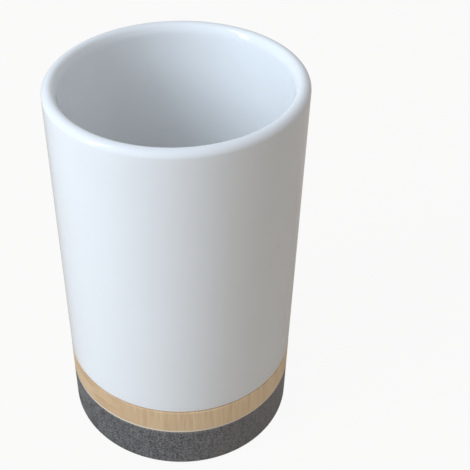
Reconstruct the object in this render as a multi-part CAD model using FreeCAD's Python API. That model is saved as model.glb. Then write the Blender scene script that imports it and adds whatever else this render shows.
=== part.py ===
"""Bathroom tumbler: a glazed ceramic cup glued into a natural wood band on a dark wooden base.

Millimetres, +Z up. The origin is the centre of the circle on which the tumbler stands.
Every turned piece is a closed outline of (radius, height) corners, revolved about Z.
"""
import FreeCAD, Part
import math
import os

# Overall sizes
outer_diameter = 70.0
overall_height = 116.0

# Ceramic cup: one wall thickness all round
cup_wall = 4.0
cup_floor_thickness = 5.0
cup_inner_corner_radius = 6.0
cup_shoulder_radius = 0.6

# Lip: rounded outside and on top, then a slope that runs into the inner wall in a wide curve
lip_outer_radius = 2.0
lip_inner_radius = 1.6
lip_slope_angle = 60.0

# Foot ring under the cup, which drops into the bore of the wood band
foot_ring_width = 6.5
foot_recess_depth = 3.0
foot_edge_radius = 0.8
foot_clearance = 0.4

# Natural wood band
band_height = 8.9
band_wall = 7.0
band_edge_radius = 0.3

# Dark base, with a round tenon that centres the band
base_height = 14.5
base_top_edge_radius = 0.3
base_bottom_edge_radius = 0.6
tenon_height = 4.0
tenon_edge_radius = 0.5
tenon_clearance = 0.15

# Adhesive between cup, band and base
glue_film_thickness = 0.2
glue_film_setback = 0.6
seat_film_thickness = 0.3
seat_film_setback = 1.0
bed_thickness = 0.6

# Anti-slip pads stuck to the underside
pad_count = 4
pad_diameter = 9.0
pad_thickness = 0.8
pad_circle_diameter = 50.0
pad_first_angle = 45.0
pad_edge_radius = 0.3

# Turns in degrees, and the shortest edge that an outline keeps
full_turn = 360.0
quarter_turn = 90.0
least_edge = 1e-6

# Radii that the pieces share
outer_radius = outer_diameter / 2
cup_inner_radius = outer_radius - cup_wall
bore_radius = outer_radius - band_wall
foot_radius = bore_radius - foot_clearance
foot_recess_radius = foot_radius - foot_ring_width
tenon_radius = bore_radius - tenon_clearance

# The lip's slope, and the widest curve that fits between it and the inner wall
lip_slope = math.radians(lip_slope_angle)
lip_bend = lip_inner_radius * math.tan(lip_slope / 2)
lip_top_radius = outer_radius - lip_outer_radius - lip_bend
flare_width = lip_top_radius - cup_inner_radius
flare_length = flare_width / math.cos(lip_slope)
flare_bottom = overall_height - flare_width * math.tan(lip_slope)
flare_turn = math.radians(quarter_turn) - lip_slope
flare_radius = (flare_length - lip_bend) / math.tan(flare_turn / 2)

# Heights of the joints, from the standing plane upwards
base_bottom = pad_thickness
base_top = base_bottom + base_height
tenon_top = base_top + tenon_height
band_bottom = base_top + glue_film_thickness
band_top = band_bottom + band_height
shoulder = band_top + seat_film_thickness
foot_bottom = tenon_top + bed_thickness
foot_recess_top = foot_bottom + foot_recess_depth
cup_floor = foot_recess_top + cup_floor_thickness


def corner(radius, height, rounding=0.0):
    """One corner of an outline, with the radius of its rounding."""
    return FreeCAD.Vector(radius, 0, height), rounding


def rounded_corner(before, point, after, rounding):
    """Start, middle and end of the arc that rounds a corner; all three are the point of a sharp one."""
    towards_before = (before - point).normalize()
    towards_after = (after - point).normalize()
    half_angle = towards_before.getAngle(towards_after) / 2
    tangent_length = rounding / math.tan(half_angle)
    bisector = (towards_before + towards_after).normalize()
    middle = point + bisector * (rounding / math.sin(half_angle) - rounding)
    return point + towards_before * tangent_length, middle, point + towards_after * tangent_length


def apart(first, second):
    """Whether two points are far enough apart for an edge between them."""
    return first.distanceToPoint(second) > least_edge


def turned(corners):
    """Solid of revolution about Z of a closed outline of corners."""
    arcs = []
    for index, (point, rounding) in enumerate(corners):
        before = corners[index - 1][0]
        after = corners[(index + 1) % len(corners)][0]
        arcs.append(rounded_corner(before, point, after, rounding))
    edges = []
    for index, (start, middle, end) in enumerate(arcs):
        next_start = arcs[(index + 1) % len(arcs)][0]
        if apart(start, end):
            edges.append(Part.Arc(start, middle, end).toShape())
        if apart(end, next_start):
            edges.append(Part.makeLine(end, next_start))
    outline = Part.Face(Part.Wire(edges))
    return outline.revolve(FreeCAD.Vector(0, 0, 0), FreeCAD.Vector(0, 0, 1), full_turn)


def make_ceramic_cup():
    """Cup with a flared lip, a hollow foot ring and a shoulder that covers the band."""
    return turned([
        corner(0, foot_recess_top),
        corner(foot_recess_radius, foot_recess_top),
        corner(foot_recess_radius, foot_bottom),
        corner(foot_radius, foot_bottom, foot_edge_radius),
        corner(foot_radius, shoulder),
        corner(outer_radius, shoulder, cup_shoulder_radius),
        corner(outer_radius, overall_height, lip_outer_radius),
        corner(lip_top_radius, overall_height, lip_inner_radius),
        corner(cup_inner_radius, flare_bottom, flare_radius),
        corner(cup_inner_radius, cup_floor, cup_inner_corner_radius),
        corner(0, cup_floor),
    ])


def make_wood_band():
    """Ring that takes the foot of the cup from above and the tenon of the base from below."""
    return turned([
        corner(bore_radius, band_bottom),
        corner(outer_radius, band_bottom, band_edge_radius),
        corner(outer_radius, band_top, band_edge_radius),
        corner(bore_radius, band_top),
    ])


def make_dark_base():
    """Disc that carries the band on its rim, with the tenon that centres it."""
    return turned([
        corner(0, base_bottom),
        corner(outer_radius, base_bottom, base_bottom_edge_radius),
        corner(outer_radius, base_top, base_top_edge_radius),
        corner(tenon_radius, base_top),
        corner(tenon_radius, tenon_top, tenon_edge_radius),
        corner(0, tenon_top),
    ])


def make_cup_adhesive():
    """Adhesive under the foot ring, up its side and out over the top of the band."""
    seat_rim = outer_radius - seat_film_setback
    return turned([
        corner(foot_recess_radius, tenon_top),
        corner(bore_radius, tenon_top),
        corner(bore_radius, band_top),
        corner(seat_rim, band_top),
        corner(seat_rim, shoulder),
        corner(foot_radius, shoulder),
        corner(foot_radius, foot_bottom, foot_edge_radius),
        corner(foot_recess_radius, foot_bottom),
    ])


def make_band_glue_film():
    """Thin ring of wood glue between the band and the rim of the base."""
    film_rim = outer_radius - glue_film_setback
    return turned([
        corner(bore_radius, base_top),
        corner(film_rim, base_top),
        corner(film_rim, band_bottom),
        corner(bore_radius, band_bottom),
    ])


def make_foot_pad(index):
    """One round pad, stuck to the underside of the base."""
    pad = turned([
        corner(0, 0),
        corner(pad_diameter / 2, 0, pad_edge_radius),
        corner(pad_diameter / 2, pad_thickness),
        corner(0, pad_thickness),
    ])
    pad.translate(FreeCAD.Vector(pad_circle_diameter / 2, 0, 0))
    angle = pad_first_angle + index * full_turn / pad_count
    pad.rotate(FreeCAD.Vector(0, 0, 0), FreeCAD.Vector(0, 0, 1), angle)
    return pad


nodes = {
    "ceramic_cup": make_ceramic_cup(),
    "cup_adhesive": make_cup_adhesive(),
    "wood_band": make_wood_band(),
    "band_glue_film": make_band_glue_film(),
    "dark_base": make_dark_base(),
}
for pad_index in range(pad_count):
    nodes[f"foot_pad_{pad_index + 1}"] = make_foot_pad(pad_index)

os.makedirs("parts", exist_ok=True)
for name, shape in nodes.items():
    shape.exportStep(f"parts/{name}.step")
    print(f"{name}: {shape.ShapeType}, valid {shape.isValid()}, {shape.Volume / 1000:.2f} cm3")
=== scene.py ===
"""Dresses the bathroom tumbler: a white glazed cup on a natural wood band and a dark wooden base.

Laid out as an add-on and run as a script. Metres and +Z up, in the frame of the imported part.
Every piece is turned: one node tree sweeps an outline of (radius, height, rounding) corners about Z.
"""
import math
from typing import NamedTuple

import bmesh
import bpy
from bpy.props import FloatProperty, FloatVectorProperty, PointerProperty
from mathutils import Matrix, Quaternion, Vector


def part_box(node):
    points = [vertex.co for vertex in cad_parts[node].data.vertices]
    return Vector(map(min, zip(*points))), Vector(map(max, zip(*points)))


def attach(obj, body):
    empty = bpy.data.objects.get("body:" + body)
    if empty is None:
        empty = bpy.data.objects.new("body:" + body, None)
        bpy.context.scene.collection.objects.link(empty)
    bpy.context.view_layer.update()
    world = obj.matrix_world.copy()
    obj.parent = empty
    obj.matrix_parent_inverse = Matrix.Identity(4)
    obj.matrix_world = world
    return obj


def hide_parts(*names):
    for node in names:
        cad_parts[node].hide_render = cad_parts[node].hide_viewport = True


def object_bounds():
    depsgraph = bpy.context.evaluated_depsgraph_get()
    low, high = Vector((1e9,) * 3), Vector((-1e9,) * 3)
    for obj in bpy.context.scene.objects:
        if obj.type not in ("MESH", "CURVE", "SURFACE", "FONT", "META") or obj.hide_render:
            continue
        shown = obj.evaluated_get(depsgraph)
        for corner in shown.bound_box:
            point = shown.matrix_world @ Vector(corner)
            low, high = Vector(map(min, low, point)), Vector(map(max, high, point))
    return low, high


bl_info = {
    "name": "Bathroom tumbler",
    "version": (1, 0, 0),
    "blender": (4, 5, 0),
    "location": "View3D > Sidebar > Tumbler",
    "description": "Dresses a ceramic tumbler with a wood band and a dark base around its CAD frame",
    "category": "Object",
}

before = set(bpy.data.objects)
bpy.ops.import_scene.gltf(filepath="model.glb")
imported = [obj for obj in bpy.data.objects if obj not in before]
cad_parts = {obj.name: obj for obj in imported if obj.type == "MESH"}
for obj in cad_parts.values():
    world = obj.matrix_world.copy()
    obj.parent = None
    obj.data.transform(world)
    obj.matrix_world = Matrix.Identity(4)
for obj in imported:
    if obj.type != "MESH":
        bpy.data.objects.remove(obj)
CAD_LOW, CAD_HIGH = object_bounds()

MM = 0.001

# Boxes of the CAD nodes, which give the radii and heights where pieces meet
CUP_LOW, CUP_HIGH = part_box("ceramic_cup")
BAND_LOW, BAND_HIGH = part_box("wood_band")
BASE_LOW, BASE_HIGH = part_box("dark_base")
BED_LOW, BED_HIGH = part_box("cup_adhesive")
FILM_LOW, FILM_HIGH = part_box("band_glue_film")
PAD_NAMES = [name for name in sorted(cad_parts) if name.startswith("foot_pad_")]

# The turning tree: its name, the attribute that carries the roundings, and how finely it turns
TURNING_TREE = "Turned piece"
ROUNDING = "rounding"
TURN_STEPS = 240
PAD_TURN_STEPS = 64
ARC_STEPS = 10
LONGEST_STEP = 4.0 * MM
WELD_DISTANCE = 0.001 * MM
CREASE_ANGLE = math.radians(35)
WAVE_SEED = 7.0
NODE_SPACING = 220

# Sockets that share a name are told apart by their place in the node
MIX_FACTOR = 0
MIX_A = 6
MIX_B = 7
MIX_RESULT = 2


def linear(hex_colour):
    """Linear colour with alpha 1 from an sRGB hex value such as #F2F1EE."""
    shares = [int(hex_colour[start:start + 2], 16) / 255 for start in (1, 3, 5)]
    return [c / 12.92 if c <= 0.04045 else ((c + 0.055) / 1.055) ** 2.4 for c in shares] + [1.0]


def per_size(sizes):
    """Scale of a pattern whose features have these sizes along X, Y and Z."""
    return [1 / size for size in sizes]


def length(name, description, millimetres):
    """A size that a user may change."""
    return FloatProperty(name=name, description=description, default=millimetres * MM,
                         min=0.0, precision=5, subtype="DISTANCE")


def colour(name, description, hex_colour):
    """A colour that a user may change."""
    return FloatVectorProperty(name=name, description=description, default=linear(hex_colour),
                               size=4, min=0.0, max=1.0, subtype="COLOR")


class TumblerSizes(bpy.types.PropertyGroup):
    """Sizes that the boxes of the CAD nodes don't give"""
    cup_wall: length("Cup wall", "Thickness of the ceramic wall", 4.0)
    lip_outer: length("Lip outside", "Rounding of the lip's outer edge", 2.0)
    lip_inner: length("Lip inside", "Rounding between the lip's top and its inner slope", 1.6)
    lip_slope: FloatProperty(name="Lip slope", description="Fall of the lip's inner slope below the level",
                             default=math.radians(60), subtype="ANGLE")
    cup_floor: length("Cup floor", "Thickness of the ceramic floor", 5.0)
    cup_inner_corner: length("Inner corner", "Rounding between the cup's wall and floor", 6.0)
    cup_shoulder: length("Shoulder", "Rounding of the cup's lower edge", 0.6)
    cup_waviness: length("Waviness", "How far the cast wall wanders inwards", 0.08)
    cup_wave: length("Wave", "Length of one wave of the cast wall", 30.0)
    foot_ring: length("Foot ring", "Width of the ring under the cup", 6.5)
    foot_recess: length("Foot recess", "Depth of the hollow inside the foot ring", 3.0)
    foot_edge: length("Foot edge", "Rounding of the foot ring's outer edge", 0.8)
    foot_clearance: length("Foot clearance", "Gap between the foot ring and the band's bore", 0.4)
    band_wall: length("Band wall", "Thickness of the wood band", 7.0)
    band_edge: length("Band edge", "Rounding of the band's outer edges", 0.3)
    base_top_edge: length("Base top edge", "Rounding of the base's upper edge", 0.3)
    base_bottom_edge: length("Base bottom edge", "Rounding of the base's lower edge", 0.6)
    tenon_clearance: length("Tenon clearance", "Gap between the base's tenon and the band's bore", 0.15)
    tenon_edge: length("Tenon edge", "Rounding of the tenon's upper edge", 0.5)
    pad_edge: length("Pad edge", "Rounding of the pads' lower edge", 0.3)
    grain_turn: FloatProperty(name="Grain turn", description="Turn of the wood's grain from front to back",
                              default=math.radians(-14), subtype="ANGLE")


class TumblerColours(bpy.types.PropertyGroup):
    """Colours of the finishes and the stage"""
    glaze: colour("Glaze", "White gloss glaze", "#FAFBFB")
    glaze_thin: colour("Thin glaze", "Glaze where it is thinner and the body shows", "#F6F6F4")
    glaze_speck: colour("Glaze speck", "Fired specks in the glaze", "#D3CDC4")
    wood_pale: colour("Pale wood", "Early growth of the band's wood", "#FEDFB4")
    wood_deep: colour("Deep wood", "Late growth of the band's wood", "#DDBB92")
    wood_line: colour("Wood lines", "Dark lines between the strips", "#B98A5A")
    # Painted highlight: colour of the pale line along the band's lower edge
    wood_edge_highlight: colour("Wood edge", "Sanded lower edge of the band", "#FBEEDA")
    stain_deep: colour("Deep stain", "Base where the stain has soaked in", "#3C3B3B")
    stain_pale: colour("Pale stain", "Base where the stain is thin", "#858383")
    stain_worn: colour("Worn stain", "Edges of the base that have rubbed", "#8D8883")
    silicone: colour("Silicone", "Cured adhesive under the cup", "#DCDAD3")
    glue: colour("Wood glue", "Dried glue film", "#CDB98F")
    rubber: colour("Rubber", "Anti-slip pads", "#2E2E2F")
    floor: colour("Floor", "Floor as it lights the object", "#C2B4A2")
    backdrop: colour("Backdrop", "Floor and room as they are seen", "#FFFFFF")
    key_light: colour("Key light", "Window-like lamp", "#DBECFF")
    room_light: colour("Room light", "Light from all round", "#A6A7AA")


def add(tree, kind, settings=None, inputs=None):
    """Adds a node with its settings, and fills its sockets with values or links."""
    node = tree.nodes.new(kind)
    node.location.x = NODE_SPACING * len(tree.nodes)
    for name, value in (settings or {}).items():
        setattr(node, name, value)
    for socket, value in (inputs or {}).items():
        if isinstance(value, bpy.types.NodeSocket):
            tree.links.new(value, node.inputs[socket])
        else:
            node.inputs[socket].default_value = value
    return node


def make_turning_tree():
    """Node tree that rounds an outline's corners and turns it about Z into one closed shell."""
    tree = bpy.data.node_groups.new(TURNING_TREE, "GeometryNodeTree")
    for name, kind in {
        "Outline": "NodeSocketGeometry",
        "Arc steps": "NodeSocketInt",
        "Longest step": "NodeSocketFloat",
        "Turn steps": "NodeSocketInt",
        "Waviness": "NodeSocketFloat",
        "Wave": "NodeSocketFloat",
        "Centre": "NodeSocketVector",
        "Material": "NodeSocketMaterial",
    }.items():
        tree.interface.new_socket(name, in_out="INPUT", socket_type=kind)
    tree.interface.new_socket("Shell", in_out="OUTPUT", socket_type="NodeSocketGeometry")
    given = add(tree, "NodeGroupInput").outputs
    position = add(tree, "GeometryNodeInputPosition").outputs["Position"]
    index = add(tree, "GeometryNodeInputIndex").outputs["Index"]

    # Corners become arcs, and long straights get points in between
    rounding = add(tree, "GeometryNodeInputNamedAttribute", {"data_type": "FLOAT"}, {"Name": ROUNDING})
    corners = add(tree, "GeometryNodeMeshToCurve", {}, {"Mesh": given["Outline"]})
    rounded = add(tree, "GeometryNodeFilletCurve", {"mode": "POLY"}, {
        "Curve": corners.outputs["Curve"],
        "Count": given["Arc steps"],
        "Radius": rounding.outputs["Attribute"],
    })
    next_index = add(tree, "FunctionNodeIntegerMath", {"operation": "ADD"}, {0: index, 1: 1})
    next_place = add(tree, "GeometryNodeFieldAtIndex", {"data_type": "FLOAT_VECTOR"}, {
        "Value": position,
        "Index": next_index.outputs[0],
    })
    step = add(tree, "ShaderNodeVectorMath", {"operation": "DISTANCE"}, {
        0: position,
        1: next_place.outputs[0],
    })
    cuts = add(tree, "ShaderNodeMath", {"operation": "DIVIDE"}, {
        0: step.outputs["Value"],
        1: given["Longest step"],
    })
    outline = add(tree, "GeometryNodeSubdivideCurve", {}, {
        "Curve": rounded.outputs["Curve"],
        "Cuts": cuts.outputs[0],
    }).outputs["Curve"]

    # A grid takes one row of points for each point of the outline, and wraps round Z
    count = add(tree, "GeometryNodeAttributeDomainSize", {"component": "CURVE"}, {"Geometry": outline})
    stops = add(tree, "FunctionNodeIntegerMath", {"operation": "ADD"}, {0: given["Turn steps"], 1: 1})
    grid = add(tree, "GeometryNodeMeshGrid", {}, {
        "Vertices X": count.outputs["Point Count"],
        "Vertices Y": stops.outputs[0],
    })
    row = add(tree, "FunctionNodeIntegerMath", {"operation": "DIVIDE_FLOOR"}, {
        0: index,
        1: stops.outputs[0],
    })
    stop = add(tree, "FunctionNodeIntegerMath", {"operation": "MODULO"}, {0: index, 1: stops.outputs[0]})
    share = add(tree, "ShaderNodeMath", {"operation": "DIVIDE"}, {
        0: stop.outputs[0],
        1: given["Turn steps"],
    })
    angle = add(tree, "ShaderNodeMath", {"operation": "MULTIPLY"}, {0: share.outputs[0], 1: math.tau})
    start = add(tree, "GeometryNodeSampleIndex", {"data_type": "FLOAT_VECTOR", "domain": "POINT"}, {
        "Geometry": outline,
        "Value": position,
        "Index": row.outputs[0],
    })
    place = add(tree, "ShaderNodeVectorRotate", {"rotation_type": "Z_AXIS"}, {
        "Vector": start.outputs[0],
        "Angle": angle.outputs[0],
    })
    wrapped = add(tree, "GeometryNodeSetPosition", {}, {
        "Geometry": grid.outputs["Mesh"],
        "Position": place.outputs[0],
    })
    welded = add(tree, "GeometryNodeMergeByDistance", {}, {
        "Geometry": wrapped.outputs["Geometry"],
        "Distance": WELD_DISTANCE,
    })

    # The wall wanders inwards a little, and the piece goes to its centre
    pitch = add(tree, "ShaderNodeMath", {"operation": "DIVIDE"}, {0: 1.0, 1: given["Wave"]})
    wave = add(tree, "ShaderNodeTexNoise", {"noise_dimensions": "4D"}, {
        "Vector": position,
        "W": WAVE_SEED,
        "Scale": pitch.outputs[0],
        "Detail": 1.0,
    })
    depth = add(tree, "ShaderNodeMath", {"operation": "MULTIPLY"}, {
        0: wave.outputs[0],
        1: given["Waviness"],
    })
    # The grid's faces look inwards until the shell is closed
    inwards = add(tree, "ShaderNodeVectorMath", {"operation": "SCALE"}, {
        0: add(tree, "GeometryNodeInputNormal").outputs["Normal"],
        "Scale": depth.outputs[0],
    })
    shift = add(tree, "ShaderNodeVectorMath", {"operation": "ADD"}, {
        0: given["Centre"],
        1: inwards.outputs[0],
    })
    placed = add(tree, "GeometryNodeSetPosition", {}, {
        "Geometry": welded.outputs["Geometry"],
        "Offset": shift.outputs[0],
    })

    # Smooth all over, apart from the sharp corners of the outline
    bend = add(tree, "GeometryNodeInputMeshEdgeAngle")
    sharp = add(tree, "FunctionNodeCompare", {"data_type": "FLOAT", "operation": "GREATER_THAN"}, {
        0: bend.outputs["Unsigned Angle"],
        1: CREASE_ANGLE,
    })
    smooth = add(tree, "GeometryNodeSetShadeSmooth", {"domain": "FACE"}, {
        "Geometry": placed.outputs["Geometry"],
        "Shade Smooth": True,
    })
    creased = add(tree, "GeometryNodeSetShadeSmooth", {"domain": "EDGE"}, {
        "Geometry": smooth.outputs["Geometry"],
        "Selection": sharp.outputs[0],
        "Shade Smooth": False,
    })
    real = add(tree, "GeometryNodeRealizeInstances", {}, {"Geometry": creased.outputs["Geometry"]})
    finished = add(tree, "GeometryNodeSetMaterial", {}, {
        "Geometry": real.outputs["Geometry"],
        "Material": given["Material"],
    })
    add(tree, "NodeGroupOutput", {}, {"Shell": finished.outputs["Geometry"]})
    return tree


def close_shell(name, mesh):
    """Turns the faces outwards, and stops if the mesh isn't one closed shell."""
    shell = bmesh.new()
    shell.from_mesh(mesh)
    bmesh.ops.recalc_face_normals(shell, faces=shell.faces)
    open_edges = sum(not edge.is_manifold for edge in shell.edges)
    shell.to_mesh(mesh)
    shell.free()
    if open_edges:
        raise RuntimeError(f"{name} isn't closed: {open_edges} edges are open")


def turn_piece(name, node, slot, corners, material,
               turn_steps=TURN_STEPS, centre=(0.0, 0.0, 0.0), **inputs):
    """Turns an outline into a piece that stands for a CAD node and rides on the part."""
    tree = bpy.data.node_groups.get(TURNING_TREE) or make_turning_tree()
    points = list(corners)
    meets_axis = points[0][0] == 0
    if not meets_axis:
        points.append(points[0])
    outline = bpy.data.meshes.new(f"{name}_outline")
    outline.from_pydata(
        [(radius, 0.0, height) for radius, height, rounding in points],
        [(index, index + 1) for index in range(len(points) - 1)],
        [],
    )
    roundings = outline.attributes.new(ROUNDING, "FLOAT", "POINT")
    roundings.data.foreach_set("value", [rounding for radius, height, rounding in points])
    piece = bpy.data.objects.new(name, outline)
    modifier = piece.modifiers.new("Turning", "NODES")
    modifier.node_group = tree
    values = {
        "Arc steps": ARC_STEPS,
        "Longest step": LONGEST_STEP,
        "Turn steps": turn_steps,
        "Waviness": 0.0,
        "Wave": LONGEST_STEP,
        "Centre": centre,
        "Material": material,
    }
    values.update(inputs)
    for socket in tree.interface.items_tree:
        if socket.name in values:
            modifier[socket.identifier] = values[socket.name]
    bpy.context.scene.collection.objects.link(piece)
    evaluated = piece.evaluated_get(bpy.context.evaluated_depsgraph_get())
    mesh = bpy.data.meshes.new_from_object(evaluated)
    piece.modifiers.remove(modifier)
    piece.data = mesh
    mesh.name = name
    bpy.data.meshes.remove(outline)
    close_shell(name, mesh)
    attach(piece, "root")
    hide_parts(node)
    return piece


def start_material(name):
    """An empty material, its tree, and the coordinates of the piece in metres."""
    material = bpy.data.materials.new(name)
    material.use_nodes = True
    tree = material.node_tree
    tree.nodes.clear()
    where = add(tree, "ShaderNodeTexCoord").outputs["Object"]
    return material, tree, where


def finish_material(tree, surface):
    """Connects the surface of a material to its output."""
    add(tree, "ShaderNodeOutputMaterial", {}, {"Surface": surface.outputs[0]})


# Glazed stoneware: sizes of its patterns, how strongly its specks show, and how few cells hold one
GLAZE_CLOUD = 22 * MM
GLAZE_RIPPLE = 3.5 * MM
GLAZE_RIPPLE_DEPTH = 0.03 * MM
SPECK_SPACING = 9 * MM
SPECK_CORE = 0.18 * MM
SPECK_RIM = 0.54 * MM
SPECK_STRENGTH = 0.3
SPECK_RARITY = 0.8


def glazed_stoneware(colours):
    """Stoneware, slip cast and gloss glazed: a white smooth mirror, a little uneven, with rare specks."""
    material, tree, where = start_material("Glazed stoneware")
    cloud = add(tree, "ShaderNodeTexNoise", {}, {"Vector": where, "Scale": 1 / GLAZE_CLOUD, "Detail": 3.0})
    body = add(tree, "ShaderNodeMix", {"data_type": "RGBA"}, {
        MIX_FACTOR: cloud.outputs[0],
        MIX_A: colours.glaze,
        MIX_B: colours.glaze_thin,
    })
    grit = add(tree, "ShaderNodeTexVoronoi", {}, {"Vector": where, "Scale": 1 / SPECK_SPACING})
    spot = add(tree, "ShaderNodeMapRange", {}, {
        "Value": grit.outputs["Distance"],
        "From Min": SPECK_CORE / SPECK_SPACING,
        "From Max": SPECK_RIM / SPECK_SPACING,
        "To Min": SPECK_STRENGTH,
        "To Max": 0.0,
    })
    chance = add(tree, "ShaderNodeSeparateColor", {}, {"Color": grit.outputs["Color"]})
    chosen = add(tree, "ShaderNodeMath", {"operation": "GREATER_THAN"}, {
        0: chance.outputs["Red"],
        1: SPECK_RARITY,
    })
    speck = add(tree, "ShaderNodeMath", {"operation": "MULTIPLY"}, {
        0: spot.outputs[0],
        1: chosen.outputs[0],
    })
    coat = add(tree, "ShaderNodeMix", {"data_type": "RGBA"}, {
        MIX_FACTOR: speck.outputs[0],
        MIX_A: body.outputs[MIX_RESULT],
        MIX_B: colours.glaze_speck,
    })
    peel = add(tree, "ShaderNodeTexNoise", {}, {"Vector": where, "Scale": 1 / GLAZE_RIPPLE, "Detail": 2.0})
    gloss = add(tree, "ShaderNodeMapRange", {}, {"Value": peel.outputs[0], "To Min": 0.03, "To Max": 0.07})
    ripple = add(tree, "ShaderNodeBump", {}, {
        "Strength": 0.25,
        "Distance": GLAZE_RIPPLE_DEPTH,
        "Height": peel.outputs[0],
    })
    surface = add(tree, "ShaderNodeBsdfPrincipled", {}, {
        "Base Color": coat.outputs[MIX_RESULT],
        "Roughness": gloss.outputs[0],
        "IOR": 1.43,
        "Normal": ripple.outputs[0],
    })
    finish_material(tree, surface)
    return material


# Lacquered beech: sizes of its patterns across, along and up the board.
# Real growth lines and fibres are too fine to show in the render, so they are drawn coarser.
BEECH_FIBRE = (0.7 * MM, 40 * MM, 9 * MM)
BEECH_TONE = (12 * MM, 60 * MM, 14 * MM)
BEECH_STREAK = (5 * MM, 45 * MM, 1.6 * MM)
BEECH_PORE_DEPTH = 0.05 * MM
LINE_SPACING = 6.2 * MM
LINE_WANDER = 2.5 * MM
# Painted highlight along the band's lower edge: where it is full and where it fades out
EDGE_HIGHLIGHT_FULL = 0.5 * MM
EDGE_HIGHLIGHT_END = 1.0 * MM

# How the beech's patterns are weighed: shares, strengths, and the stretches of a noise that show
FIBRE_SHARE = 0.65
# Painted light: how far the band's tone shifts paler towards +X and deeper towards -X
PAINTED_LIGHT_SHIFT = 0.4
GROWTH_PALE = 0.25
GROWTH_DEEP = 0.75
LINE_START = 0.7
LINE_STRENGTH = 0.14
STREAK_START = 0.48
STREAK_FULL = 0.66
STREAK_STRENGTH = 0.6
# How strongly the painted highlight on the band's lower edge shows
EDGE_HIGHLIGHT_STRENGTH = 0.9

# Shares of the band's radius at which the long grain of its sides starts and is full
SIDE_START = 0.6
SIDE_FULL = 0.95


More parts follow.
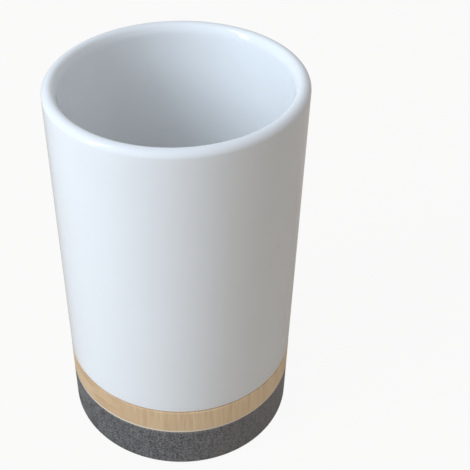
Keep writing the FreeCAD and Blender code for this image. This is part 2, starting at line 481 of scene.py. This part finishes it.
def lacquered_beech(colours, grain_turn):
    """Beech, turned and clear lacquered: fine upright lines on the end grain, long streaks at the sides."""
    material, tree, where = start_material("Lacquered beech")
    board = add(tree, "ShaderNodeMapping", {}, {"Vector": where, "Rotation": (0.0, 0.0, grain_turn)})
    along = board.outputs[0]
    across = add(tree, "ShaderNodeSeparateXYZ", {}, {"Vector": along})

    # Fibres and slow changes of tone, and painted light that makes the band paler towards +X
    stretched = add(tree, "ShaderNodeMapping", {}, {"Vector": along, "Scale": per_size(BEECH_FIBRE)})
    fibre = add(tree, "ShaderNodeTexNoise", {}, {
        "Vector": stretched.outputs[0],
        "Scale": 1.0,
        "Detail": 4.0,
    })
    slow = add(tree, "ShaderNodeMapping", {}, {"Vector": along, "Scale": per_size(BEECH_TONE)})
    tone = add(tree, "ShaderNodeTexNoise", {}, {"Vector": slow.outputs[0], "Scale": 1.0, "Detail": 2.0})
    tone_part = add(tree, "ShaderNodeMath", {"operation": "MULTIPLY"}, {
        0: tone.outputs[0],
        1: 1 - FIBRE_SHARE,
    })
    mixed = add(tree, "ShaderNodeMath", {"operation": "MULTIPLY_ADD"}, {
        0: fibre.outputs[0],
        1: FIBRE_SHARE,
        2: tone_part.outputs[0],
    })
    # Painted light: paler towards +X, deeper towards -X
    painted_paler_side = add(tree, "ShaderNodeMapRange", {}, {
        "Value": across.outputs["X"],
        "From Min": -BAND_HIGH.x,
        "From Max": BAND_HIGH.x,
        "To Min": PAINTED_LIGHT_SHIFT,
        "To Max": -PAINTED_LIGHT_SHIFT,
    })
    tone_with_painted_light = add(tree, "ShaderNodeMath", {"operation": "ADD"}, {0: mixed.outputs[0], 1: painted_paler_side.outputs[0]})
    growth = add(tree, "ShaderNodeMapRange", {}, {
        "Value": tone_with_painted_light.outputs[0],
        "From Min": GROWTH_PALE,
        "From Max": GROWTH_DEEP,
    })
    grain = add(tree, "ShaderNodeMix", {"data_type": "RGBA"}, {
        MIX_FACTOR: growth.outputs[0],
        MIX_A: colours.wood_pale,
        MIX_B: colours.wood_deep,
    })

    # Dark growth lines, which wander with the tone
    wander = add(tree, "ShaderNodeMath", {"operation": "MULTIPLY_ADD"}, {
        0: tone.outputs[0],
        1: LINE_WANDER,
        2: across.outputs["X"],
    })
    turns = add(tree, "ShaderNodeMath", {"operation": "MULTIPLY"}, {
        0: wander.outputs[0],
        1: math.tau / LINE_SPACING,
    })
    strip = add(tree, "ShaderNodeMath", {"operation": "SINE"}, {0: turns.outputs[0]})
    line = add(tree, "ShaderNodeMapRange", {}, {
        "Value": strip.outputs[0],
        "From Min": LINE_START,
        "From Max": 1.0,
        "To Min": 0.0,
        "To Max": LINE_STRENGTH,
    })

    # Long streaks where the side of the ring cuts along the grain
    flat_sawn = add(tree, "ShaderNodeMapping", {}, {"Vector": along, "Scale": per_size(BEECH_STREAK)})
    streak = add(tree, "ShaderNodeTexNoise", {}, {
        "Vector": flat_sawn.outputs[0],
        "Scale": 1.0,
        "Detail": 2.0,
    })
    streaked = add(tree, "ShaderNodeMapRange", {}, {
        "Value": streak.outputs[0],
        "From Min": STREAK_START,
        "From Max": STREAK_FULL,
    })
    sideways = add(tree, "ShaderNodeMath", {"operation": "ABSOLUTE"}, {0: across.outputs["X"]})
    side = add(tree, "ShaderNodeMapRange", {}, {
        "Value": sideways.outputs[0],
        "From Min": SIDE_START * BAND_HIGH.x,
        "From Max": SIDE_FULL * BAND_HIGH.x,
        "To Max": STREAK_STRENGTH,
    })
    long_grain = add(tree, "ShaderNodeMath", {"operation": "MULTIPLY"}, {
        0: streaked.outputs[0],
        1: side.outputs[0],
    })
    dark = add(tree, "ShaderNodeMath", {"operation": "MAXIMUM"}, {
        0: line.outputs[0],
        1: long_grain.outputs[0],
    })
    lined = add(tree, "ShaderNodeMix", {"data_type": "RGBA"}, {
        MIX_FACTOR: dark.outputs[0],
        MIX_A: grain.outputs[MIX_RESULT],
        MIX_B: colours.wood_line,
    })

    # Painted highlight: a pale line along the band's lower edge
    painted_edge_highlight = add(tree, "ShaderNodeMapRange", {}, {
        "Value": across.outputs["Z"],
        "From Min": BAND_LOW.z + EDGE_HIGHLIGHT_FULL,
        "From Max": BAND_LOW.z + EDGE_HIGHLIGHT_END,
        "To Min": EDGE_HIGHLIGHT_STRENGTH,
        "To Max": 0.0,
    })
    wood = add(tree, "ShaderNodeMix", {"data_type": "RGBA"}, {
        MIX_FACTOR: painted_edge_highlight.outputs[0],
        MIX_A: lined.outputs[MIX_RESULT],
        MIX_B: colours.wood_edge_highlight,
    })
    gloss = add(tree, "ShaderNodeMapRange", {}, {"Value": fibre.outputs[0], "To Min": 0.32, "To Max": 0.5})
    pores = add(tree, "ShaderNodeBump", {}, {
        "Strength": 0.4,
        "Distance": BEECH_PORE_DEPTH,
        "Height": fibre.outputs[0],
    })
    surface = add(tree, "ShaderNodeBsdfPrincipled", {}, {
        "Base Color": wood.outputs[MIX_RESULT],
        "Roughness": gloss.outputs[0],
        "IOR": 1.5,
        "Normal": pores.outputs[0],
    })
    finish_material(tree, surface)
    return material


# Stained wood: sizes of its fibres across, along and up the board, and of its pores.
# Real pores are too fine to show in the render, so they are drawn coarser.
STAIN_FIBRE = (0.9 * MM, 25 * MM, 5 * MM)
STAIN_PORE = 0.45 * MM
STAIN_PORE_DEPTH = 0.06 * MM
RUBBED_FULL = 0.1 * MM
RUBBED_END = 0.6 * MM

# How the stain's patterns are weighed, and how much paler one side is painted, as painted light
PORE_SHARE = 0.75
# Painted light: shift of the base's tone at -X and at +X, paler towards +X
PAINTED_LIGHT_LEAST = -0.04
PAINTED_LIGHT_MOST = 0.12
SOAK_DEEP = 0.4
SOAK_PALE = 0.6
RUBBED_STRENGTH = 0.8


def stained_wood(colours, grain_turn):
    """Wood, turned and stained dark grey: matt, speckled by its pores, rubbed paler along the edges."""
    material, tree, where = start_material("Stained wood")
    board = add(tree, "ShaderNodeMapping", {}, {"Vector": where, "Rotation": (0.0, 0.0, grain_turn)})
    along = board.outputs[0]
    place = add(tree, "ShaderNodeSeparateXYZ", {}, {"Vector": along})

    # Stain that has soaked into pores and fibres, with painted light that makes it paler towards +X
    stretched = add(tree, "ShaderNodeMapping", {}, {"Vector": along, "Scale": per_size(STAIN_FIBRE)})
    fibre = add(tree, "ShaderNodeTexNoise", {}, {
        "Vector": stretched.outputs[0],
        "Scale": 1.0,
        "Detail": 3.0,
    })
    pore = add(tree, "ShaderNodeTexNoise", {}, {"Vector": along, "Scale": 1 / STAIN_PORE, "Detail": 2.0})
    fibre_part = add(tree, "ShaderNodeMath", {"operation": "MULTIPLY"}, {
        0: fibre.outputs[0],
        1: 1 - PORE_SHARE,
    })
    mixed = add(tree, "ShaderNodeMath", {"operation": "MULTIPLY_ADD"}, {
        0: pore.outputs[0],
        1: PORE_SHARE,
        2: fibre_part.outputs[0],
    })
    # Painted light: the base is painted paler towards +X
    thinner = add(tree, "ShaderNodeMapRange", {}, {
        "Value": place.outputs["X"],
        "From Min": -BASE_HIGH.x,
        "From Max": BASE_HIGH.x,
        "To Min": PAINTED_LIGHT_LEAST,
        "To Max": PAINTED_LIGHT_MOST,
    })
    uneven = add(tree, "ShaderNodeMath", {"operation": "ADD"}, {0: mixed.outputs[0], 1: thinner.outputs[0]})
    soak = add(tree, "ShaderNodeMapRange", {}, {
        "Value": uneven.outputs[0],
        "From Min": SOAK_DEEP,
        "From Max": SOAK_PALE,
    })
    stain = add(tree, "ShaderNodeMix", {"data_type": "RGBA"}, {
        MIX_FACTOR: soak.outputs[0],
        MIX_A: colours.stain_deep,
        MIX_B: colours.stain_pale,
    })

    # Edges that have rubbed paler, unevenly along the fibres
    below = add(tree, "ShaderNodeMath", {"operation": "SUBTRACT"}, {0: FILM_LOW.z, 1: place.outputs["Z"]})
    above = add(tree, "ShaderNodeMath", {"operation": "SUBTRACT"}, {0: place.outputs["Z"], 1: BASE_LOW.z})
    edge = add(tree, "ShaderNodeMath", {"operation": "MINIMUM"}, {0: below.outputs[0], 1: above.outputs[0]})
    rubbed = add(tree, "ShaderNodeMapRange", {}, {
        "Value": edge.outputs[0],
        "From Min": RUBBED_FULL,
        "From Max": RUBBED_END,
        "To Min": RUBBED_STRENGTH,
        "To Max": 0.0,
    })
    wear = add(tree, "ShaderNodeMath", {"operation": "MULTIPLY"}, {
        0: rubbed.outputs[0],
        1: fibre.outputs[0],
    })
    worn = add(tree, "ShaderNodeMix", {"data_type": "RGBA"}, {
        MIX_FACTOR: wear.outputs[0],
        MIX_A: stain.outputs[MIX_RESULT],
        MIX_B: colours.stain_worn,
    })
    gloss = add(tree, "ShaderNodeMapRange", {}, {"Value": pore.outputs[0], "To Min": 0.42, "To Max": 0.62})
    pores = add(tree, "ShaderNodeBump", {}, {
        "Strength": 0.5,
        "Distance": STAIN_PORE_DEPTH,
        "Height": mixed.outputs[0],
    })
    surface = add(tree, "ShaderNodeBsdfPrincipled", {}, {
        "Base Color": worn.outputs[MIX_RESULT],
        "Roughness": gloss.outputs[0],
        "IOR": 1.5,
        "Normal": pores.outputs[0],
    })
    finish_material(tree, surface)
    return material


def clouded(name, tint, cloud_size, darkest, roughness, bump_depth):
    """A plain material whose tone clouds over, with a faint bump: adhesive, glue and rubber."""
    material, tree, where = start_material(name)
    cloud = add(tree, "ShaderNodeTexNoise", {}, {"Vector": where, "Scale": 1 / cloud_size, "Detail": 3.0})
    shade = add(tree, "ShaderNodeMapRange", {}, {
        "Value": cloud.outputs[0],
        "To Min": darkest,
        "To Max": 1.0,
    })
    tinted = add(tree, "ShaderNodeMix", {"data_type": "RGBA", "blend_type": "MULTIPLY"}, {
        MIX_FACTOR: 1.0,
        MIX_A: tint,
        MIX_B: shade.outputs[0],
    })
    dimple = add(tree, "ShaderNodeBump", {}, {
        "Strength": 0.5,
        "Distance": bump_depth,
        "Height": cloud.outputs[0],
    })
    surface = add(tree, "ShaderNodeBsdfPrincipled", {}, {
        "Base Color": tinted.outputs[MIX_RESULT],
        "Roughness": roughness,
        "Normal": dimple.outputs[0],
    })
    finish_material(tree, surface)
    return material


def cured_silicone(colours):
    """Silicone, squeezed out and cured: pale, faintly clouded, with a soft sheen."""
    return clouded("Cured silicone", colours.silicone, cloud_size=4 * MM, darkest=0.88,
                   roughness=0.35, bump_depth=0.05 * MM)


def dried_wood_glue(colours):
    """Wood glue, pressed to a film and dried: yellowish and uneven, with a dull shine."""
    return clouded("Dried wood glue", colours.glue, cloud_size=3 * MM, darkest=0.8,
                   roughness=0.4, bump_depth=0.03 * MM)


def moulded_rubber(colours):
    """Rubber, moulded: near black and matt, with a fine grain."""
    return clouded("Moulded rubber", colours.rubber, cloud_size=0.8 * MM, darkest=0.6,
                   roughness=0.75, bump_depth=0.05 * MM)


class TUMBLER_OT_cup(bpy.types.Operator):
    """Turn the glazed ceramic cup"""
    bl_idname = "tumbler.cup"
    bl_label = "Ceramic cup"

    def execute(self, context):
        sizes = context.scene.tumbler_sizes
        outer = CUP_HIGH.x
        inner = outer - sizes.cup_wall
        lip_bend = sizes.lip_inner * math.tan(sizes.lip_slope / 2)
        lip_top = outer - sizes.lip_outer - lip_bend
        flare_width = lip_top - inner
        flare_bottom = CUP_HIGH.z - flare_width * math.tan(sizes.lip_slope)
        flare_length = flare_width / math.cos(sizes.lip_slope)
        flare = (flare_length - lip_bend) / math.tan(math.pi / 4 - sizes.lip_slope / 2)
        foot = outer - sizes.band_wall - sizes.foot_clearance
        recess = foot - sizes.foot_ring
        recess_top = CUP_LOW.z + sizes.foot_recess
        floor = recess_top + sizes.cup_floor
        shoulder = BED_HIGH.z
        corners = [
            (0.0, recess_top, 0.0),
            (recess, recess_top, 0.0),
            (recess, CUP_LOW.z, 0.0),
            (foot, CUP_LOW.z, sizes.foot_edge),
            (foot, shoulder, 0.0),
            (outer, shoulder, sizes.cup_shoulder),
            (outer, CUP_HIGH.z, sizes.lip_outer),
            (lip_top, CUP_HIGH.z, sizes.lip_inner),
            (inner, flare_bottom, flare),
            (inner, floor, sizes.cup_inner_corner),
            (0.0, floor, 0.0),
        ]
        material = glazed_stoneware(context.scene.tumbler_colours)
        turn_piece("cup", "ceramic_cup", "glazed_ceramic", corners, material,
                   Waviness=sizes.cup_waviness, Wave=sizes.cup_wave)
        return {"FINISHED"}


class TUMBLER_OT_band(bpy.types.Operator):
    """Turn the natural wood band"""
    bl_idname = "tumbler.band"
    bl_label = "Wood band"

    def execute(self, context):
        sizes = context.scene.tumbler_sizes
        outer = BAND_HIGH.x
        bore = outer - sizes.band_wall
        corners = [
            (bore, BAND_LOW.z, 0.0),
            (outer, BAND_LOW.z, sizes.band_edge),
            (outer, BAND_HIGH.z, sizes.band_edge),
            (bore, BAND_HIGH.z, 0.0),
        ]
        material = lacquered_beech(context.scene.tumbler_colours, sizes.grain_turn)
        turn_piece("band", "wood_band", "natural_wood", corners, material)
        return {"FINISHED"}


class TUMBLER_OT_base(bpy.types.Operator):
    """Turn the dark base with its tenon"""
    bl_idname = "tumbler.base"
    bl_label = "Dark base"

    def execute(self, context):
        sizes = context.scene.tumbler_sizes
        outer = BASE_HIGH.x
        tenon = outer - sizes.band_wall - sizes.tenon_clearance
        rim = FILM_LOW.z
        corners = [
            (0.0, BASE_LOW.z, 0.0),
            (outer, BASE_LOW.z, sizes.base_bottom_edge),
            (outer, rim, sizes.base_top_edge),
            (tenon, rim, 0.0),
            (tenon, BASE_HIGH.z, sizes.tenon_edge),
            (0.0, BASE_HIGH.z, 0.0),
        ]
        material = stained_wood(context.scene.tumbler_colours, sizes.grain_turn)
        turn_piece("base", "dark_base", "stained_wood", corners, material)
        return {"FINISHED"}


class TUMBLER_OT_adhesives(bpy.types.Operator):
    """Lay the silicone bed of the cup and the glue film of the band"""
    bl_idname = "tumbler.adhesives"
    bl_label = "Adhesives"

    def execute(self, context):
        sizes = context.scene.tumbler_sizes
        colours = context.scene.tumbler_colours
        bore = BAND_HIGH.x - sizes.band_wall
        foot = bore - sizes.foot_clearance
        recess = foot - sizes.foot_ring
        bed = [
            (recess, BED_LOW.z, 0.0),
            (bore, BED_LOW.z, 0.0),
            (bore, BAND_HIGH.z, 0.0),
            (BED_HIGH.x, BAND_HIGH.z, 0.0),
            (BED_HIGH.x, BED_HIGH.z, 0.0),
            (foot, BED_HIGH.z, 0.0),
            (foot, CUP_LOW.z, sizes.foot_edge),
            (recess, CUP_LOW.z, 0.0),
        ]
        film = [
            (bore, FILM_LOW.z, 0.0),
            (FILM_HIGH.x, FILM_LOW.z, 0.0),
            (FILM_HIGH.x, FILM_HIGH.z, 0.0),
            (bore, FILM_HIGH.z, 0.0),
        ]
        turn_piece("cup_bed", "cup_adhesive", "silicone_adhesive", bed, cured_silicone(colours))
        turn_piece("glue_film", "band_glue_film", "wood_glue", film, dried_wood_glue(colours))
        return {"FINISHED"}


class TUMBLER_OT_pads(bpy.types.Operator):
    """Stick the anti-slip pads under the base"""
    bl_idname = "tumbler.pads"
    bl_label = "Anti-slip pads"

    def execute(self, context):
        sizes = context.scene.tumbler_sizes
        rubber = moulded_rubber(context.scene.tumbler_colours)
        for node in PAD_NAMES:
            low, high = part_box(node)
            middle = (low + high) / 2
            radius = (high.x - low.x) / 2
            corners = [
                (0.0, low.z, 0.0),
                (radius, low.z, sizes.pad_edge),
                (radius, high.z, 0.0),
                (0.0, high.z, 0.0),
            ]
            turn_piece(node.replace("foot_", ""), node, "pad_rubber", corners, rubber,
                       turn_steps=PAD_TURN_STEPS, centre=(middle.x, middle.y, 0.0))
        return {"FINISHED"}


class Lamp(NamedTuple):
    """A flat lamp: its direction from the object, its size and power, and if a gloss mirrors it."""
    name: str
    direction: Vector
    width: float
    height: float
    power: float
    mirrored: bool


# The lamps, in metres and watts: a broad window, a tall pane that a gloss mirrors, a weak fill behind
LAMPS = (
    Lamp("window_lamp", Vector((-0.616, -0.492, 0.616)), width=0.35, height=0.7, power=5.1, mirrored=False),
    Lamp("pane_lamp", Vector((-0.797, -0.29, 0.53)), width=0.18, height=0.9, power=4.8, mirrored=True),
    Lamp("fill_lamp", Vector((0.1, 0.94, 0.33)), width=0.9, height=0.5, power=2.6, mirrored=False),
)
LAMP_DISTANCE = 1.1

# Floor and room: how bright they look where they are seen, and the share of that which a gloss mirrors
FLOOR_SIZE = 8.0
FLOOR_SHOWN = 0.93
ROOM_STRENGTH = 1.0
ROOM_SHOWN = 0.955
MIRRORED_SHARE = 0.2

# The camera, fitted to the photograph: where it stands and looks, its roll, lens and shift
CAMERA_PLACE = Vector((0.0, -200.77, 227.03)) * MM
CAMERA_AIM = Vector((-11.17, 0.0, 63.8)) * MM
CAMERA_ROLL = math.radians(-3.04)
CAMERA_LENS = 66.82
CAMERA_SHIFT = 0.202


def looks_at(place, aim):
    """Turn that points a camera or a lamp at a place, upright."""
    return (aim - place).to_track_quat("-Z", "Y")


def seen_directly(tree):
    """1 for what the camera sees, less for what a gloss mirrors, 0 for light that only falls on things."""
    path = add(tree, "ShaderNodeLightPath")
    glossy = add(tree, "ShaderNodeMath", {"operation": "MULTIPLY"}, {
        0: path.outputs["Is Glossy Ray"],
        1: MIRRORED_SHARE,
    })
    mirrored = add(tree, "ShaderNodeMath", {"operation": "MAXIMUM"}, {
        0: glossy.outputs[0],
        1: path.outputs["Is Transmission Ray"],
    })
    seen = add(tree, "ShaderNodeMath", {"operation": "MAXIMUM"}, {
        0: path.outputs["Is Camera Ray"],
        1: mirrored.outputs[0],
    })
    return seen.outputs[0]


def add_floor(colours):
    """Pale matt floor that keeps the shadow of the object."""
    half = FLOOR_SIZE / 2
    corners = [(-half, -half, 0), (half, -half, 0), (half, half, 0), (-half, half, 0)]
    mesh = bpy.data.meshes.new("floor")
    mesh.from_pydata(corners, [], [tuple(range(len(corners)))])
    floor = bpy.data.objects.new("floor", mesh)
    bpy.context.scene.collection.objects.link(floor)
    floor.location.z = CAD_LOW.z
    material = bpy.data.materials.new("Matt paper")
    material.use_nodes = True
    tree = material.node_tree
    tree.nodes.clear()
    paper = add(tree, "ShaderNodeBsdfDiffuse", {}, {"Color": colours.floor})
    pale = add(tree, "ShaderNodeEmission", {}, {"Color": colours.backdrop, "Strength": 1.0})
    share = add(tree, "ShaderNodeMath", {"operation": "MULTIPLY"}, {0: seen_directly(tree), 1: FLOOR_SHOWN})
    surface = add(tree, "ShaderNodeMixShader", {}, {
        0: share.outputs[0],
        1: paper.outputs[0],
        2: pale.outputs[0],
    })
    finish_material(tree, surface)
    mesh.materials.append(material)


def add_room_light(colours):
    """Even light from all round, which looks pale where it is seen."""
    world = bpy.data.worlds.new("Room")
    world.use_nodes = True
    tree = world.node_tree
    tree.nodes.clear()
    light = add(tree, "ShaderNodeBackground", {}, {"Color": colours.room_light, "Strength": ROOM_STRENGTH})
    pale = add(tree, "ShaderNodeBackground", {}, {"Color": colours.backdrop, "Strength": ROOM_SHOWN})
    shown = add(tree, "ShaderNodeMixShader", {}, {
        0: seen_directly(tree),
        1: light.outputs[0],
        2: pale.outputs[0],
    })
    add(tree, "ShaderNodeOutputWorld", {}, {"Surface": shown.outputs[0]})
    bpy.context.scene.world = world


def add_lamp(lamp, colours):
    """Hangs a lamp and aims it at the middle of the object."""
    light = bpy.data.lights.new(lamp.name, "AREA")
    light.shape = "RECTANGLE"
    light.size = lamp.width
    light.size_y = lamp.height
    light.energy = lamp.power
    light.color = colours.key_light[:3]
    place = lamp.direction.normalized() * LAMP_DISTANCE
    stand = bpy.data.objects.new(lamp.name, light)
    stand.visible_glossy = lamp.mirrored
    stand.location = place
    stand.rotation_mode = "QUATERNION"
    stand.rotation_quaternion = looks_at(place, (CAD_LOW + CAD_HIGH) / 2)
    bpy.context.scene.collection.objects.link(stand)


def add_camera():
    """Camera at the photograph's viewing angle."""
    lens = bpy.data.cameras.new("camera")
    lens.lens = CAMERA_LENS
    lens.shift_x = CAMERA_SHIFT
    lens.clip_start = MM
    camera = bpy.data.objects.new("camera", lens)
    camera.location = CAMERA_PLACE
    camera.rotation_mode = "QUATERNION"
    camera.rotation_quaternion = looks_at(CAMERA_PLACE, CAMERA_AIM) @ Quaternion((0, 0, 1), CAMERA_ROLL)
    bpy.context.scene.collection.objects.link(camera)
    bpy.context.scene.camera = camera


class TUMBLER_OT_stage(bpy.types.Operator):
    """Set the floor, the light and the camera"""
    bl_idname = "tumbler.stage"
    bl_label = "Stage"

    def execute(self, context):
        colours = context.scene.tumbler_colours
        add_floor(colours)
        add_room_light(colours)
        for lamp in LAMPS:
            add_lamp(lamp, colours)
        add_camera()
        context.scene.view_settings.view_transform = "Standard"
        return {"FINISHED"}


OPERATORS = (
    TUMBLER_OT_cup,
    TUMBLER_OT_band,
    TUMBLER_OT_base,
    TUMBLER_OT_adhesives,
    TUMBLER_OT_pads,
    TUMBLER_OT_stage,
)


class TUMBLER_PT_panel(bpy.types.Panel):
    """Sizes and colours of the tumbler, and the steps that build it"""
    bl_idname = "TUMBLER_PT_panel"
    bl_label = "Tumbler"
    bl_space_type = "VIEW_3D"
    bl_region_type = "UI"
    bl_category = "Tumbler"

    def draw(self, context):
        for group in (context.scene.tumbler_sizes, context.scene.tumbler_colours):
            box = self.layout.box()
            for name in group.__annotations__:
                box.prop(group, name)
        for operator in OPERATORS:
            self.layout.operator(operator.bl_idname)


CLASSES = (TumblerSizes, TumblerColours, *OPERATORS, TUMBLER_PT_panel)


def register():
    """Registers the classes and hangs the sizes and colours on the scene."""
    for cls in CLASSES:
        bpy.utils.register_class(cls)
    bpy.types.Scene.tumbler_sizes = PointerProperty(type=TumblerSizes)
    bpy.types.Scene.tumbler_colours = PointerProperty(type=TumblerColours)


def unregister():
    """Takes the sizes and colours off the scene and unregisters the classes."""
    del bpy.types.Scene.tumbler_colours
    del bpy.types.Scene.tumbler_sizes
    for cls in reversed(CLASSES):
        bpy.utils.unregister_class(cls)


def main():
    """Builds the dressed tumbler and its stage."""
    register()
    bpy.ops.tumbler.cup()
    bpy.ops.tumbler.band()
    bpy.ops.tumbler.base()
    bpy.ops.tumbler.adhesives()
    bpy.ops.tumbler.pads()
    bpy.ops.tumbler.stage()


if __name__ == "__main__":
    main()
